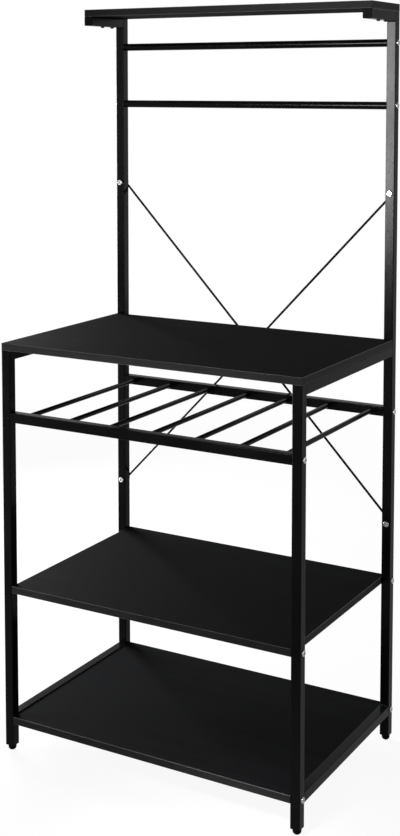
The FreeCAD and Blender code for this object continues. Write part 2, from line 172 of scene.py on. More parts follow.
# Posts. Four uprights of 20 mm square steel tube with rounded corners, sprayed with black powder.
# The back pair is longer. Each is drilled for the bolts that pass through it.
TUBE_WALL = 1.2 * MM
TUBE_CORNER = 1.5 * MM
CORNER_STEPS = 4
BOLT_HOLE = 3.3 * MM
HEAD_RADIUS = 6 * MM
DRILL_SIDES = 24
CREASE = math.radians(30)
COAT_DARK = (0.0031, 0.0031, 0.0033, 1)
COAT_LIGHT = (0.0050, 0.0050, 0.0052, 1)
NOISE_LOW = 0.3
NOISE_HIGH = 0.7


def only(piece):
    """Makes one object the whole selection."""
    bpy.ops.object.select_all(action="DESELECT")
    piece.select_set(True)
    bpy.context.view_layer.objects.active = piece


def settle(piece, name):
    """Names an object and moves its place, turn and size into its mesh."""
    piece.name = name
    only(piece)
    bpy.ops.object.transform_apply(location=True, rotation=True, scale=True)
    return piece


def block(name, low, high):
    """A box between two corners."""
    low, high = Vector(low), Vector(high)
    bpy.ops.object.select_all(action="DESELECT")
    bpy.ops.mesh.primitive_cube_add(size=1, location=(low + high) / 2, scale=high - low)
    return settle(bpy.context.object, name)


def round_bar(name, start, end, radius, sides):
    """A solid round bar between two points."""
    start, end = Vector(start), Vector(end)
    bpy.ops.object.select_all(action="DESELECT")
    bpy.ops.mesh.primitive_cylinder_add(
        vertices=sides, radius=radius, depth=(end - start).length, location=(start + end) / 2,
        rotation=(end - start).to_track_quat("Z", "Y").to_euler())
    return settle(bpy.context.object, name)


def pick(piece, kind, test):
    """Opens a piece in edit mode with only the vertices, edges or faces that pass a test selected."""
    only(piece)
    bpy.ops.object.mode_set(mode="EDIT")
    bpy.ops.mesh.select_mode(type=kind)
    bpy.ops.mesh.select_all(action="DESELECT")
    mesh = bmesh.from_edit_mesh(piece.data)
    for part in {"VERT": mesh.verts, "EDGE": mesh.edges, "FACE": mesh.faces}[kind]:
        part.select_set(test(part))
    bmesh.update_edit_mesh(piece.data)


def put_down():
    """Leaves edit mode."""
    bpy.ops.object.mode_set(mode="OBJECT")


def run_of(edge):
    """An edge's direction."""
    return (edge.verts[1].co - edge.verts[0].co).normalized()


def runs_along(edge, axis):
    """Whether an edge runs along an axis."""
    return abs(run_of(edge)[axis]) > 0.9


def runs_across(edge, axis):
    """Whether an edge lies across an axis."""
    return abs(run_of(edge)[axis]) < 0.1


def middle_of(edge):
    """An edge's midpoint."""
    return (edge.verts[0].co + edge.verts[1].co) / 2


def bevel(piece, width, steps, test):
    """Rounds the edges that pass a test."""
    pick(piece, "EDGE", test)
    bpy.ops.mesh.bevel(offset=width, segments=steps, affect="EDGES", clamp_overlap=False)
    put_down()


def hollow(piece, axis, wall):
    """Bores a bar from end to end and leaves a wall."""
    pick(piece, "FACE", lambda face: abs(face.normal[axis]) > 0.9)
    bpy.ops.mesh.inset(thickness=wall)
    bpy.ops.mesh.delete(type="FACE")
    put_down()
    pick(piece, "EDGE", lambda edge: edge.is_boundary)
    bpy.ops.mesh.bridge_edge_loops()
    bpy.ops.mesh.select_all(action="SELECT")
    bpy.ops.mesh.normals_make_consistent(inside=False)
    put_down()


def square_tube(name, low, high):
    """A length of square tube along its longest side, with rounded corners and open ends."""
    piece = block(name, low, high)
    size = high - low
    axis = max(range(3), key=lambda i: size[i])
    bevel(piece, TUBE_CORNER, CORNER_STEPS, lambda edge: runs_along(edge, axis))
    hollow(piece, axis, TUBE_WALL)
    return piece


def join(name, pieces):
    """Makes several objects one."""
    bpy.ops.object.select_all(action="DESELECT")
    for piece in pieces:
        piece.select_set(True)
    bpy.context.view_layer.objects.active = pieces[0]
    if len(pieces) > 1:
        bpy.ops.object.join()
    pieces[0].name = name
    return pieces[0]


def carve(piece, tool, operation="DIFFERENCE"):
    """Cuts a piece with a tool, or keeps what they share, and removes the tool."""
    cut = piece.modifiers.new("cut", "BOOLEAN")
    cut.operation, cut.object, cut.solver = operation, tool, "EXACT"
    only(piece)
    bpy.ops.object.modifier_apply(modifier=cut.name)
    bpy.data.objects.remove(tool)


def drill(piece, holes):
    """Drills round holes, each from a point to a point with a radius."""
    drills = [round_bar("drill", start, end, radius, DRILL_SIDES) for start, end, radius in holes]
    carve(piece, join("drill", drills))


def dress(piece, finish, nodes=(), body="rack"):
    """Gives a modelled piece its shading, its finish and its body, in the place of CAD nodes."""
    only(piece)
    bpy.ops.object.shade_smooth_by_angle(angle=CREASE)
    even = piece.modifiers.new("even", "WEIGHTED_NORMAL")
    even.keep_sharp = True
    bpy.ops.object.modifier_apply(modifier=even.name)
    piece.data.materials.clear()
    piece.data.materials.append(finish)
    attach(piece, body)
    if nodes:
        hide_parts(*nodes)
    return piece


def start_group(name, inputs, outputs):
    """A node group with number sockets, and its input and output nodes."""
    group = bpy.data.node_groups.new(name, "ShaderNodeTree")
    for label in inputs:
        group.interface.new_socket(label, in_out="INPUT", socket_type="NodeSocketFloat")
    for label in outputs:
        group.interface.new_socket(label, in_out="OUTPUT", socket_type="NodeSocketFloat")
    return group, group.nodes.new("NodeGroupInput"), group.nodes.new("NodeGroupOutput")


# Sprayed, plated and moulded skins share this group: tiny bumps all over, and a tone that drifts
# slowly from place to place.
sprayed_skin, given, result = start_group(
    "sprayed_skin", ("Bumps per Metre", "Drift per Metre"), ("Height", "Tone"))
skin_place = add_node(sprayed_skin, "ShaderNodeTexCoord")
for label, source, detail in (("Height", "Bumps per Metre", 1.0), ("Tone", "Drift per Metre", 3.0)):
    speckle = add_node(sprayed_skin, "ShaderNodeTexNoise")
    speckle.inputs["Detail"].default_value = detail
    sprayed_skin.links.new(skin_place.outputs["Object"], speckle.inputs["Vector"])
    sprayed_skin.links.new(given.outputs[source], speckle.inputs["Scale"])
    sprayed_skin.links.new(speckle.outputs["Fac"], result.inputs[label])


def skin_finish(name, dark, light, rough, bumps, drift, height, **fixed):
    """A finish with a fine skin whose tone and gloss drift a little."""
    finish = bpy.data.materials.new(name)
    finish.use_nodes = True
    tree = finish.node_tree
    surface = tree.nodes["Principled BSDF"]
    for socket, value in fixed.items():
        surface.inputs[socket.replace("_", " ")].default_value = value
    skin = add_node(tree, "ShaderNodeGroup", node_tree=sprayed_skin)
    skin.inputs["Bumps per Metre"].default_value = bumps
    skin.inputs["Drift per Metre"].default_value = drift
    shade = add_node(tree, "ShaderNodeMix", data_type="RGBA")
    shade.inputs["A"].default_value = dark
    shade.inputs["B"].default_value = light
    tree.links.new(range_node(tree, skin.outputs["Tone"], NOISE_LOW, NOISE_HIGH, 0, 1),
                   shade.inputs["Factor"])
    tree.links.new(shade.outputs["Result"], surface.inputs["Base Color"])
    tree.links.new(range_node(tree, skin.outputs["Tone"], NOISE_LOW, NOISE_HIGH, *rough),
                   surface.inputs["Roughness"])
    relief = add_node(tree, "ShaderNodeBump")
    relief.inputs["Strength"].default_value = 1.0
    relief.inputs["Distance"].default_value = height
    tree.links.new(skin.outputs["Height"], relief.inputs["Height"])
    tree.links.new(relief.outputs["Normal"], surface.inputs["Normal"])
    return finish


powder_coat = skin_finish("black_powder_coat", COAT_DARK, COAT_LIGHT, rough=(0.15, 0.20),
                          bumps=1300.0, drift=11.0, height=0.035 * MM, Specular_IOR_Level=0.07)

SIDES = ("left", "right")
ENDS = ("front", "back")
outer_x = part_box("right_back_post")[1].x
outer_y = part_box("right_back_post")[1].y
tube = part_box("right_back_post")[1].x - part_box("right_back_post")[0].x
post_x = outer_x - tube / 2
post_y = outer_y - tube / 2


def level_of(node):
    """The height of a node's middle."""
    low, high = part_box(node)
    return (low.z + high.z) / 2


bolt_levels = [level_of(node) for node in ("bottom_shelf_bolts", "middle_shelf_bolts", "rack_bolts")]
bar_levels = [level_of("lower_hanging_bar"), level_of("upper_hanging_bar")]
brace_low, brace_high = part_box("brace_bolts")
brace_levels = (brace_low.z + HEAD_RADIUS, brace_high.z - HEAD_RADIUS)

for side in SIDES:
    for end in ENDS:
        node = f"{side}_{end}_post"
        low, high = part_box(node)
        piece = square_tube(f"{node}_tube", low, high)
        across = bolt_levels + (bar_levels if end == "back" else [])
        x, y = (low.x + high.x) / 2, (low.y + high.y) / 2
        holes = [((x - tube, y, z), (x + tube, y, z), BOLT_HOLE) for z in across]
        if end == "back":
            holes += [((x, y - tube, z), (x, y + tube, z), BOLT_HOLE) for z in brace_levels]
        drill(piece, holes)
        dress(piece, powder_coat, [node])


# Side rails and arms. The same tube, cut square. The rails are welded between the posts, and the
# arms to the front of the back posts. The top rails are drilled from below for the worktop's
# screws, and the arms for the top shelf's.
SCREW_HOLE = 2.3 * MM
ACCESS_HOLE = 5 * MM
WORKTOP_SCREW_STEP = 145 * MM
ARM_SCREW_REACH = (56 * MM, 94 * MM)
worktop_screw_y = (-WORKTOP_SCREW_STEP, 0, WORKTOP_SCREW_STEP)
arm_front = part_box("top_shelf_edge_band")[0].y
arm_screw_y = [arm_front + reach for reach in ARM_SCREW_REACH]

for side in SIDES:
    for kind in ("top_rail", "bottom_rail", "shelf_arm"):
        node = f"{side}_{kind}"
        low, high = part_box(node)
        piece = square_tube(f"{node}_tube", low, high)
        x, z = (low.x + high.x) / 2, (low.z + high.z) / 2
        if kind == "top_rail":
            drill(piece, [((x, y, z), (x, y, z + tube), SCREW_HOLE) for y in worktop_screw_y]
                  + [((x, y, z - tube), (x, y, z), ACCESS_HOLE) for y in worktop_screw_y])
        if kind == "shelf_arm":
            drill(piece, [((x, y, z - tube), (x, y, z + tube), SCREW_HOLE) for y in arm_screw_y])
        dress(piece, powder_coat, [node])


# Weld beads. Each rail and arm has a bead across the corner that its upper or lower face makes
# with the post. A bead is laid down in small overlapping puddles, and is sprayed with the tube.
BEAD_RADIUS = 1.7 * MM
BEAD_LENGTH = 17 * MM
BEAD_PITCH = 1.4 * MM
BEAD_RISE = 0.35 * MM
BEAD_ROUND = 0.6 * MM
BEAD_SIDES = 12
TOUCH = 0.01 * MM


def ribbed_bar(name, start, end, radius, sides, pitch, rise):
    """A round bar with a raised ring at every pitch along it."""
    piece = round_bar(name, start, end, radius, sides)
    start, run = Vector(start), Vector(end) - Vector(start)
    steps = max(2, 2 * round(run.length / pitch))
    along = run.normalized()
    pick(piece, "EDGE", lambda edge: abs(run_of(edge).dot(along)) > 0.9)
    bpy.ops.mesh.subdivide(number_cuts=steps - 1)
    put_down()
    spacing = run.length / steps
    pick(piece, "VERT", lambda vert: round((vert.co - start).dot(along) / spacing) % 2 == 1)
    bpy.ops.transform.shrink_fatten(value=rise)
    put_down()
    return piece


def copy_of(piece, matrix):
    """A copy with its own mesh, moved by a matrix."""
    twin = piece.copy()
    twin.data = piece.data.copy()
    twin.data.transform(matrix)
    scene.collection.objects.link(twin)
    return twin


def copies(name, model, matrices):
    """One object made of a copy of the model at each place. The model is removed."""
    twins = [copy_of(model, matrix) for matrix in matrices]
    bpy.data.objects.remove(model)
    return join(name, twins)


half_bead = Vector((BEAD_LENGTH / 2, 0, 0))
bead = ribbed_bar("bead", -half_bead, half_bead, BEAD_RADIUS, BEAD_SIDES, BEAD_PITCH, BEAD_RISE)
bevel(bead, BEAD_ROUND, 2, lambda edge: abs(abs(middle_of(edge).x) - BEAD_LENGTH / 2) < TOUCH)
rail_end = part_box("right_bottom_rail")[1].y
seams = [(rail_end * way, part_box("right_bottom_rail")[face].z) for way in (-1, 1) for face in (0, 1)]
seams += [(rail_end * way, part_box("right_top_rail")[0].z) for way in (-1, 1)]
seams += [(rail_end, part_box("right_shelf_arm")[0].z)]
seam_places = [Matrix.Translation((way * post_x, y, z)) for way in (-1, 1) for y, z in seams]
dress(copies("frame_weld_beads", bead, seam_places), powder_coat)


# Boards. The worktop, the two shelves and the top shelf are chipboard faced with black melamine
# that is pressed with a fine straight grain along the rack's width.
BOARD_DARK = (0.0062, 0.0064, 0.0069, 1)
BOARD_LIGHT = (0.0086, 0.0089, 0.0097, 1)
GRAIN_STRETCH = (2.2, 42.0, 42.0)
GRAIN_SPAN = (0.35, 0.65)
GRAIN_WAVER = 0.4
PORE_STRETCH = (30.0, 900.0, 900.0)
PORE_SPAN = (0.35, 0.55)
PORE_DEPTH = 0.04 * MM
BOARD_ROUGH = (0.70, 0.80)
BOARD_SPECULAR = 0.012
BOARD_SHEEN = (0.90, 0.94, 1.0, 1)
BOARD_ARRIS = 0.15 * MM

# Long streaks of grain, and short pores pressed into them
straight_grain, given, result = start_group("straight_grain", (), ("Streaks", "Pores"))
grain_place = add_node(straight_grain, "ShaderNodeTexCoord")
for label, stretch, detail in (("Streaks", GRAIN_STRETCH, 5.0), ("Pores", PORE_STRETCH, 2.0)):
    drawn = add_node(straight_grain, "ShaderNodeMapping")
    drawn.inputs["Scale"].default_value = stretch
    straight_grain.links.new(grain_place.outputs["Object"], drawn.inputs["Vector"])
    streak = add_node(straight_grain, "ShaderNodeTexNoise")
    streak.inputs["Scale"].default_value = 1.0
    streak.inputs["Detail"].default_value = detail
    streak.inputs["Distortion"].default_value = GRAIN_WAVER
    straight_grain.links.new(drawn.outputs["Vector"], streak.inputs["Vector"])
    straight_grain.links.new(streak.outputs["Fac"], result.inputs[label])

melamine = bpy.data.materials.new("black_melamine")
melamine.use_nodes = True
tree = melamine.node_tree
surface = tree.nodes["Principled BSDF"]
surface.inputs["Specular IOR Level"].default_value = BOARD_SPECULAR
surface.inputs["Specular Tint"].default_value = BOARD_SHEEN
grain = add_node(tree, "ShaderNodeGroup", node_tree=straight_grain)
shade = add_node(tree, "ShaderNodeMix", data_type="RGBA")
shade.inputs["A"].default_value = BOARD_DARK
shade.inputs["B"].default_value = BOARD_LIGHT
tree.links.new(range_node(tree, grain.outputs["Streaks"], *GRAIN_SPAN, 0, 1), shade.inputs["Factor"])
tree.links.new(shade.outputs["Result"], surface.inputs["Base Color"])
tree.links.new(range_node(tree, grain.outputs["Streaks"], NOISE_LOW, NOISE_HIGH, *BOARD_ROUGH),
               surface.inputs["Roughness"])
pressed = range_node(tree, grain.outputs["Pores"], *PORE_SPAN, 0, 1)
relief = add_node(tree, "ShaderNodeBump")
relief.inputs["Strength"].default_value = 1.0
relief.inputs["Distance"].default_value = PORE_DEPTH
tree.links.new(math_node(tree, "ADD", pressed, grain.outputs["Streaks"]), relief.inputs["Height"])
tree.links.new(relief.outputs["Normal"], surface.inputs["Normal"])

boards = ("worktop", "middle_shelf", "bottom_shelf", "top_shelf")
for node in boards:
    low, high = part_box(node)
    piece = block(f"{node}_board", low, high)
    bevel(piece, BOARD_ARRIS, 1, lambda edge: runs_across(edge, 2))
    dress(piece, melamine, [node])


# Edge bands. A 1 mm strip of black plastic is glued round each board and trimmed flush, and its
# upper and lower edges are rounded over by the trimmer.
BAND_ROUND = 0.85 * MM
BAND_DARK = (0.024, 0.024, 0.0254, 1)
BAND_LIGHT = (0.032, 0.032, 0.0337, 1)
# Paler colour painted on the rounded edges as a highlight
BAND_PAINTED_HIGHLIGHT = (0.13, 0.13, 0.134, 1)
SIDE_TILT = 0.2
TOP_TILT = 0.98

band_plastic = skin_finish("band_plastic", BAND_DARK, BAND_LIGHT, rough=(0.42, 0.52),
                           bumps=1600.0, drift=20.0, height=0.02 * MM, Specular_IOR_Level=0.03)
# The rounded edges are painted paler than the face, a painted highlight along each arris
tree = band_plastic.node_tree
surface = tree.nodes["Principled BSDF"]
face_tone = surface.inputs["Base Color"].links[0].from_socket
painted_highlight = add_node(tree, "ShaderNodeAttribute", attribute_name="painted_highlight")
shade = add_node(tree, "ShaderNodeMix", data_type="RGBA")
shade.inputs["B"].default_value = BAND_PAINTED_HIGHLIGHT
tree.links.new(painted_highlight.outputs["Fac"], shade.inputs["Factor"])
tree.links.new(face_tone, shade.inputs["A"])
tree.links.new(shade.outputs["Result"], surface.inputs["Base Color"])

for node in boards:
    low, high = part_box(f"{node}_edge_band")
    inner_low, inner_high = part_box(node)
    strips = []
    for axis, outside, inside in ((1, low.y, inner_low.y), (1, high.y, inner_high.y),
                                  (0, low.x, inner_low.x), (0, high.x, inner_high.x)):
        corner_low, corner_high = low.copy(), high.copy()
        if axis == 0:
            corner_low.y, corner_high.y = inner_low.y, inner_high.y
        corner_low[axis], corner_high[axis] = min(outside, inside), max(outside, inside)
        strip = block("strip", corner_low, corner_high)
        bevel(strip, BAND_ROUND, 3, lambda edge: abs(middle_of(edge)[axis] - outside) < TOUCH
              and (axis == 1 or runs_across(edge, 2)))
        strips.append(strip)
    band = dress(join(f"{node}_band", strips), band_plastic, [f"{node}_edge_band"])
    # The rounded faces are marked to take the painted highlight
    highlight_faces = band.data.attributes.new("painted_highlight", "FLOAT", "FACE")
    for face in band.data.polygons:
        highlight_faces.data[face.index].value = float(SIDE_TILT < abs(face.normal.z) < TOP_TILT)


# Bottle rack. Two rails of the square tube are bolted between the posts, and seven 10 mm rods are
# welded between them at mid height. Each rod's weld is a ring round its end.
ROD_SIDES = 32
ROD_COUNT = 7
ROD_ROUND = 0.4 * MM
RING_GAP = 0.2 * MM
RING_TUBE = 1.1 * MM
RING_RISE = 0.25 * MM
RING_STEPS = 36
RING_SIDES = 10

for end in ENDS:
    low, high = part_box(f"rack_{end}_rail")
    rail = square_tube(f"rack_{end}_rail_tube", low, high)
    dress(rail, powder_coat, [f"rack_{end}_rail"])

rod_axes = []
for number in range(1, ROD_COUNT + 1):
    node = f"bottle_rod_{number}"
    low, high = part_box(node)
    x, z, radius = (low.x + high.x) / 2, (low.z + high.z) / 2, (high.x - low.x) / 2
    piece = round_bar(f"{node}_steel", (x, low.y, z), (x, high.y, z), radius, ROD_SIDES)
    bevel(piece, ROD_ROUND, 2, lambda edge: runs_across(edge, 1))
    dress(piece, powder_coat, [node])
    rod_axes.append((x, low.y, high.y, z, radius))

rod_radius = rod_axes[0][-1]
bpy.ops.object.select_all(action="DESELECT")
bpy.ops.mesh.primitive_torus_add(major_radius=rod_radius + RING_GAP, minor_radius=RING_TUBE,
                                 major_segments=RING_STEPS, minor_segments=RING_SIDES,
                                 rotation=(math.pi / 2, 0, 0))
ring = settle(bpy.context.object, "ring")
pick(ring, "VERT", lambda vert: round(math.atan2(vert.co.z, vert.co.x) / math.tau * RING_STEPS) % 2 == 0)
bpy.ops.transform.shrink_fatten(value=RING_RISE)
put_down()
ring_places = [Matrix.Translation((x, y, z)) for x, front, back, z, radius in rod_axes
               for y in (front, back)]
dress(copies("rod_weld_rings", ring, ring_places), powder_coat)


# Hanging bars. Two lengths of 16 mm round steel tube between the back posts, for towels and hooks.
# They are sprayed like the frame, and a bolt through the post holds each end.
BAR_SIDES = 48
BAR_WALL = 1 * MM
for node in ("upper_hanging_bar", "lower_hanging_bar"):
    low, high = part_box(node)
    y, z, radius = (low.y + high.y) / 2, (low.z + high.z) / 2, (high.z - low.z) / 2
    piece = round_bar(f"{node}_tube", (low.x, y, z), (high.x, y, z), radius, BAR_SIDES)
    hollow(piece, 0, BAR_WALL)
    dress(piece, powder_coat, [node])


# Braces. Two thin steel rods cross behind the back posts. Each end is pressed flat and punched for
# its bolt, and the rod that lies outside is bowed a little where it passes the other.
BRACE_RADIUS = 2.5 * MM
BRACE_SIDES = 24
CROSSING_GAP = 0.3 * MM
EYE_THICKNESS = 2 * MM
EYE_RADIUS = 7 * MM
EYE_SIDES = 48
EYE_ROUND = 0.3 * MM
NECK = 9.5 * MM
# Each pressed ring's distance from the bolt, width, thickness and share of the drop to the post
PRESSED_RINGS = ((8.9 * MM, 1.1, 0.66, 0.5), (8.0 * MM, 1.19, 0.4, 1.0), (4.5 * MM, 1.19, 0.4, 1.0))
BEND_REACH = 12 * MM
BEND_STEPS = 5


def press_flat(rod, way, end):
    """Draws one end of the rod out in rings that grow wider and flatter and meet the post's face."""
    lift = BRACE_RADIUS + CROSSING_GAP
    drop = lift - EYE_THICKNESS / 2
    at, sunk, wide, thin = NECK, 0, 1, 1
    for reach, width, thickness, share in PRESSED_RINGS:
        pick(rod, "FACE", lambda face: face.normal.x * way < -0.9)
        bpy.ops.mesh.extrude_region_move(
            TRANSFORM_OT_translate={"value": (way * (reach - at), 0, -drop * (share - sunk))})
        bpy.ops.transform.resize(value=(1, width / wide, thickness / thin),
                                 center_override=(end + way * reach, 0, lift - drop * share))
        put_down()
        at, sunk, wide, thin = reach, share, width, thickness


def brace(name, side, bow):
    """A brace from the upper bolt on one side down to the lower bolt on the other."""
    top = Vector((side * post_x, outer_y, brace_levels[1]))
    foot = Vector((-side * post_x, outer_y, brace_levels[0]))
    length = (foot - top).length
    lift = BRACE_RADIUS + CROSSING_GAP
    rod = round_bar("rod", (NECK, 0, lift), (length - NECK, 0, lift), BRACE_RADIUS, BRACE_SIDES)
    if bow:
        pick(rod, "EDGE", lambda edge: runs_along(edge, 0))
        bpy.ops.mesh.subdivide(number_cuts=1)
        put_down()
        pick(rod, "VERT", lambda vert: abs(vert.co.x - length / 2) < MM)
        bpy.ops.transform.translate(value=(0, 0, bow))
        put_down()
        bevel(rod, BEND_REACH, BEND_STEPS, lambda edge: abs(middle_of(edge).x - length / 2) < MM
              and runs_across(edge, 0))
    press_flat(rod, 1, 0)
    press_flat(rod, -1, length)
    eyes = []
    for x in (0, length):
        eye = round_bar("eye", (x, 0, 0), (x, 0, EYE_THICKNESS), EYE_RADIUS, EYE_SIDES)
        bevel(eye, EYE_ROUND, 2, lambda edge: runs_across(edge, 2))
        drill(eye, [((x, 0, -tube), (x, 0, tube), BOLT_HOLE)])
        eyes.append(eye)
    piece = join(name, [rod] + eyes)
    drill(piece, [((x, 0, -tube), (x, 0, tube), BOLT_HOLE) for x in (0, length)])
    along = (foot - top).normalized()
    outward = Vector((0, 1, 0))
    turn = Matrix((along, outward.cross(along), outward)).transposed().to_4x4()
    piece.matrix_world = Matrix.Translation(top) @ turn
    return settle(piece, name)


dress(brace("left_to_right_brace_rod", -1, 0), powder_coat, ["left_to_right_brace"])
dress(brace("right_to_left_brace_rod", 1, 2 * BRACE_RADIUS + CROSSING_GAP), powder_coat,
      ["right_to_left_brace"])


# Bolts. Low socket head bolts, zinc plated and bright. Four hold each shelf and the bottle rack,
# four hold the hanging bars and four hold the braces.
HEAD_HEIGHT = 3 * MM
HEAD_SIDES = 48
HEAD_ROUND = 1 * MM
HEAD_ARRIS = 0.15 * MM
SOCKET_RADIUS = 2 * MM / math.cos(math.pi / 6)
SOCKET_DEPTH = 2 * MM
THREAD_CORE = 2.55 * MM
THREAD_RISE = 0.45 * MM
THREAD_PITCH = 1 * MM
THREAD_SIDES = 16
OVERLAP = 0.5 * MM
NEAR = 0.1 * MM
CROSS_LENGTH = 32 * MM
BRACE_LENGTH = 29.7 * MM
ZINC_DARK = (0.50, 0.50, 0.51, 1)
ZINC_LIGHT = (0.66, 0.66, 0.66, 1)

bright_zinc = skin_finish("bright_zinc", ZINC_DARK, ZINC_LIGHT, rough=(0.20, 0.34),
                          bumps=2600.0, drift=60.0, height=0.006 * MM, Metallic=1.0)


def bolt(length):
    """A bolt along +Z, with its head's underside at the origin."""
    head = round_bar("head", (0, 0, -HEAD_HEIGHT), (0, 0, 0), HEAD_RADIUS, HEAD_SIDES)
    bevel(head, HEAD_ROUND, 5, lambda edge: middle_of(edge).z < -HEAD_HEIGHT + NEAR)
    bevel(head, HEAD_ARRIS, 1, lambda edge: middle_of(edge).z > -NEAR)
    socket = round_bar("socket", (0, 0, -2 * HEAD_HEIGHT), (0, 0, SOCKET_DEPTH - HEAD_HEIGHT),
                       SOCKET_RADIUS, 6)
    carve(head, socket)
    bevel(head, HEAD_ARRIS, 1, lambda edge: abs(middle_of(edge).z + HEAD_HEIGHT) < TOUCH
          and middle_of(edge).xy.length < SOCKET_RADIUS)
    shank = ribbed_bar("shank", (0, 0, -OVERLAP), (0, 0, length), THREAD_CORE, THREAD_SIDES,
                       THREAD_PITCH, THREAD_RISE)
    return join("bolt", [head, shank])


def facing(place, direction):
    """The matrix that stands a model made along +Z at a place, along a direction."""
    return Matrix.Translation(place) @ Vector(direction).to_track_quat("Z", "Y").to_matrix().to_4x4()


def corners(level):
    """Where a bolt goes in at each post."""
    return [facing((side * outer_x, end * post_y, level), (-side, 0, 0))
            for side in (-1, 1) for end in (-1, 1)]


def bar_ends(level):
    """Where a bolt goes in at each end of a hanging bar."""
    return [facing((side * outer_x, post_y, level), (-side, 0, 0)) for side in (-1, 1)]


bolt_rows = {"bottom_shelf_bolts": corners(bolt_levels[0]),
             "middle_shelf_bolts": corners(bolt_levels[1]),
             "rack_bolts": corners(bolt_levels[2]),
             "bar_bolts": bar_ends(bar_levels[0]) + bar_ends(bar_levels[1])}
for node, places in bolt_rows.items():
    dress(copies(f"{node}_m6", bolt(CROSS_LENGTH), places), bright_zinc, [node])

back_post_front = outer_y - tube
brace_seats = [(side * post_x, level) for side in (-1, 1) for level in brace_levels]
dress(copies("brace_bolts_m6", bolt(BRACE_LENGTH),
             [facing((x, back_post_front, level), (0, 1, 0)) for x, level in brace_seats]),
      bright_zinc, ["brace_bolts"])


# Washers and nuts. Zinc plated steel, like the bolts. One of each tightens a brace's eye against
# the back post. The nut is a hexagon with its corners turned off.
WASHER_RADIUS = 6.5 * MM
WASHER_THICKNESS = 1.2 * MM
WASHER_SIDES = 48
WASHER_ROUND = 0.2 * MM
NUT_FLATS = 10 * MM
NUT_HEIGHT = 5 * MM
NUT_CHAMFER = 0.7 * MM
THREAD_HOLE = 3.05 * MM

washer = round_bar("washer", (0, 0, 0), (0, 0, WASHER_THICKNESS), WASHER_RADIUS, WASHER_SIDES)
bevel(washer, WASHER_ROUND, 2, lambda edge: runs_across(edge, 2))
drill(washer, [((0, 0, -tube), (0, 0, tube), BOLT_HOLE)])
dress(copies("brace_washers_m6", washer,
             [facing((x, outer_y + EYE_THICKNESS, level), (0, 1, 0)) for x, level in brace_seats]),
      bright_zinc, ["brace_washers"])

nut_corner = NUT_FLATS / 2 / math.cos(math.pi / 6)
nut = round_bar("nut", (0, 0, 0), (0, 0, NUT_HEIGHT), nut_corner, 6)
cone = round_bar("cone", (0, 0, 0), (0, 0, NUT_HEIGHT), nut_corner, WASHER_SIDES)
bevel(cone, NUT_CHAMFER, 3, lambda edge: runs_across(edge, 2))
carve(nut, cone, "INTERSECT")
drill(nut, [((0, 0, -tube), (0, 0, tube), THREAD_HOLE)])
nut_seat = outer_y + EYE_THICKNESS + WASHER_THICKNESS
dress(copies("brace_nuts_m6", nut,
             [facing((x, nut_seat, level), (0, 1, 0)) for x, level in brace_seats]),
      bright_zinc, ["brace_nuts"])


# Wood screws. Black pan head screws go up through the top rails into the worktop, and through the
# arms into the top shelf.
PAN_RADIUS = 4 * MM
PAN_HEIGHT = 3 * MM
PAN_ROUND = 1.5 * MM
PAN_SIDES = 40
RECESS_WIDTH = 0.9 * MM
RECESS_REACH = 2.1 * MM
RECESS_DEPTH = 1.5 * MM
RECESS_TAPER = 0.5
SCREW_CORE = 1.5 * MM
SCREW_RISE = 0.5 * MM
SCREW_PITCH = 1.6 * MM
SCREW_TIP = 4 * MM
TIP_RADIUS = 0.1 * MM
SCREW_BITE = 11 * MM
OXIDE_DARK = (0.012, 0.012, 0.013, 1)
OXIDE_LIGHT = (0.030, 0.030, 0.033, 1)

black_oxide = skin_finish("black_oxide", OXIDE_DARK, OXIDE_LIGHT, rough=(0.28, 0.44),
                          bumps=2200.0, drift=90.0, height=0.008 * MM, Specular_IOR_Level=0.1)


def wood_screw(length):
    """A screw that points up, with its head's upper face at the origin."""
    head = round_bar("head", (0, 0, -PAN_HEIGHT), (0, 0, 0), PAN_RADIUS, PAN_SIDES)
    bevel(head, PAN_ROUND, 5, lambda edge: middle_of(edge).z < -PAN_HEIGHT + NEAR)
    for reach, width in ((RECESS_REACH, RECESS_WIDTH / 2), (RECESS_WIDTH / 2, RECESS_REACH)):
        wing = block("wing", (-reach, -width, -PAN_HEIGHT - MM),
                     (reach, width, -PAN_HEIGHT + RECESS_DEPTH))
        pick(wing, "FACE", lambda face: face.normal.z > 0.9)
        bpy.ops.transform.resize(value=(RECESS_TAPER, RECESS_TAPER, 1),
                                 center_override=(0, 0, -PAN_HEIGHT + RECESS_DEPTH))
        put_down()
        carve(head, wing)
    shank = ribbed_bar("shank", (0, 0, -OVERLAP), (0, 0, length - SCREW_TIP), SCREW_CORE, THREAD_SIDES,
                       SCREW_PITCH, SCREW_RISE)
    bpy.ops.object.select_all(action="DESELECT")
    bpy.ops.mesh.primitive_cone_add(vertices=THREAD_SIDES, radius1=SCREW_CORE, radius2=TIP_RADIUS,
                                    depth=SCREW_TIP, location=(0, 0, length - SCREW_TIP / 2))
    tip = settle(bpy.context.object, "tip")
    return join("screw", [head, shank, tip])


rail_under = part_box("right_top_rail")[1].z - TUBE_WALL
arm_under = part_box("right_shelf_arm")[0].z
dress(copies("worktop_wood_screws", wood_screw(TUBE_WALL + SCREW_BITE),
             [Matrix.Translation((side * post_x, y, rail_under))
              for side in (-1, 1) for y in worktop_screw_y]),
      black_oxide, ["worktop_screws"])
dress(copies("top_shelf_wood_screws", wood_screw(tube + SCREW_BITE),
             [Matrix.Translation((side * post_x, y, arm_under))
              for side in (-1, 1) for y in arm_screw_y]),
      black_oxide, ["top_shelf_screws"])


# Inserts. Dull zinc plugs with a tapped bore are pressed into the ends of the bars, the bottle
# rack's rails and the shelves, out of sight, and the bolts screw into them.
DULL_DARK = (0.30, 0.30, 0.31, 1)
DULL_LIGHT = (0.50, 0.50, 0.50, 1)

